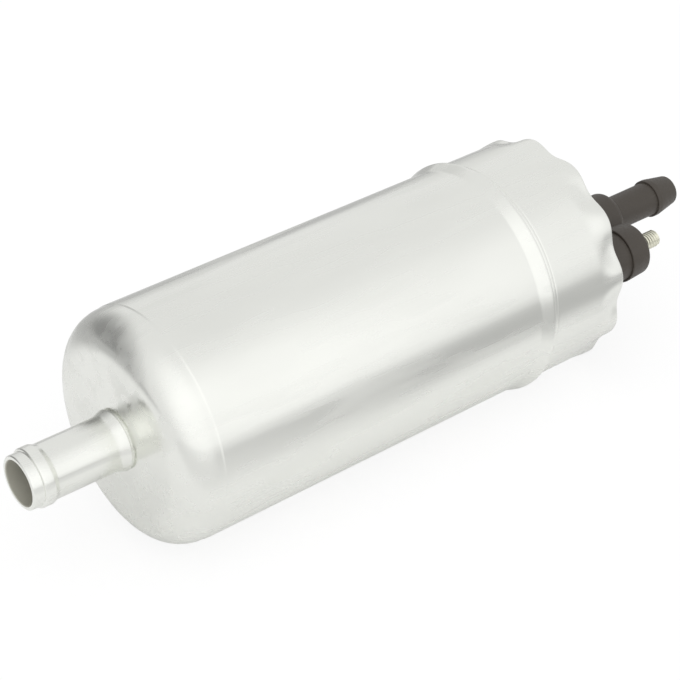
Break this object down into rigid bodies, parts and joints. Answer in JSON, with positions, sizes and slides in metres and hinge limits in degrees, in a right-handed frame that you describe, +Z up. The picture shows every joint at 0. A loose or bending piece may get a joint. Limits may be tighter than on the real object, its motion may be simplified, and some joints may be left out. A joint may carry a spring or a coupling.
{
  "type": "electric fuel pump",
  "caption": "In-line electric fuel pump: drawn aluminium can with an inlet spigot, crimped over a plastic end cap with a barbed nozzle and terminal posts; roller-cell stage and motor inside.",
  "frame": {"origin": "on the can's axis, at the middle of the straight wall that a clamp band grips", "axes": "+X along the can towards the outlet nozzle and the terminals, the inlet spigot at -X; the terminals lie on Y; +Z up, square to the plane of the terminals"},
  "size_m": [0.1809, 0.054, 0.054],
  "materials": {
    "can_aluminium": "satin",
    "cap_plastic": "moulded, matt",
    "plated_steel": "plated",
    "seal_rubber": "smooth",
    "strainer_plastic": "moulded",
    "pump_steel": "ground",
    "plate_aluminium": "machined",
    "screw_steel": "blackened",
    "valve_metal": "turned",
    "ball_steel": "polished",
    "spring_steel": "drawn wire",
    "bush_bronze": "sintered",
    "shaft_steel": "ground",
    "coupling_plastic": "moulded",
    "core_steel": "stacked sheet",
    "insulator_card": "pressed",
    "copper": "enamelled wire and bright bars",
    "hub_resin": "moulded",
    "washer_plastic": "moulded",
    "ferrite": "ground",
    "tube_steel": "rolled",
    "clip_steel": "blue spring sheet",
    "holder_plastic": "moulded",
    "brush_carbon": "pressed carbon",
    "poppet_plastic": "moulded"
  },
  "bodies": {
    "housing": {"housing_can": "can_aluminium", "end_cap": "cap_plastic", "seal_ring": "seal_rubber", "terminal_stud_left": "plated_steel", "terminal_stud_right": "plated_steel", "inlet_strainer": "strainer_plastic", "pump_inlet_plate": "plate_aluminium", "pump_ring": "pump_steel", "pump_outlet_plate": "plate_aluminium", "pump_screws": "screw_steel", "locating_pins": "pump_steel", "relief_valve_plug": "valve_metal", "relief_valve_spring": "spring_steel", "front_bush": "bush_bronze", "rear_bush": "bush_bronze", "flux_tube": "tube_steel", "magnet_upper": "ferrite", "magnet_lower": "ferrite", "magnet_clips": "clip_steel", "brush_holder": "holder_plastic", "brush_spring_left": "spring_steel", "brush_spring_right": "spring_steel", "thrust_washer": "washer_plastic", "suppression_chokes": "copper", "choke_leads": "copper", "check_valve_seat": "valve_metal", "check_valve_spring": "spring_steel", "check_valve_guide": "coupling_plastic"},
    "armature": {"armature_shaft": "shaft_steel", "armature_core": "core_steel", "armature_insulators": "insulator_card", "armature_windings": "copper", "commutator_hub": "hub_resin", "commutator_bars": "copper", "drive_coupling": "coupling_plastic"},
    "rotor": {"pump_rotor": "pump_steel", "pump_rollers": "pump_steel"},
    "brush_left": {"brush_left": "brush_carbon"},
    "brush_right": {"brush_right": "brush_carbon"},
    "check_valve": {"check_valve_poppet": "poppet_plastic"},
    "relief_valve": {"relief_valve_ball": "ball_steel"}
  },
  "joints": [
    {"name": "armature_spin", "type": "hinge", "parent": "housing", "child": "armature", "pos_m": [0, 0, 0], "axis": [1, 0, 0], "continuous": true},
    {"name": "rotor_spin", "type": "hinge", "parent": "housing", "child": "rotor", "pos_m": [0, 0, 0], "axis": [1, 0, 0], "continuous": true},
    {"name": "brush_left_slide", "type": "slide", "parent": "housing", "child": "brush_left", "axis": [0, -1, 0], "range_m": [0, 0.002], "stiffness_N_per_m": 60, "springref_m": -0.003, "deforming": ["brush_spring_left"]},
    {"name": "brush_right_slide", "type": "slide", "parent": "housing", "child": "brush_right", "axis": [0, 1, 0], "range_m": [0, 0.002], "stiffness_N_per_m": 60, "springref_m": -0.003, "deforming": ["brush_spring_right"]},
    {"name": "check_valve_lift", "type": "slide", "parent": "housing", "child": "check_valve", "axis": [1, 0, 0], "range_m": [0, 0.0025], "stiffness_N_per_m": 120, "springref_m": -0.003, "deforming": ["check_valve_spring"]},
    {"name": "relief_valve_lift", "type": "slide", "parent": "housing", "child": "relief_valve", "axis": [-1, 0, 0], "range_m": [0, 0.0012], "stiffness_N_per_m": 400, "springref_m": -0.003, "deforming": ["relief_valve_spring"]}
  ],
  "couplings": [
    {"joint": "rotor_spin", "follows": "armature_spin", "ratio": 1}
  ]
}
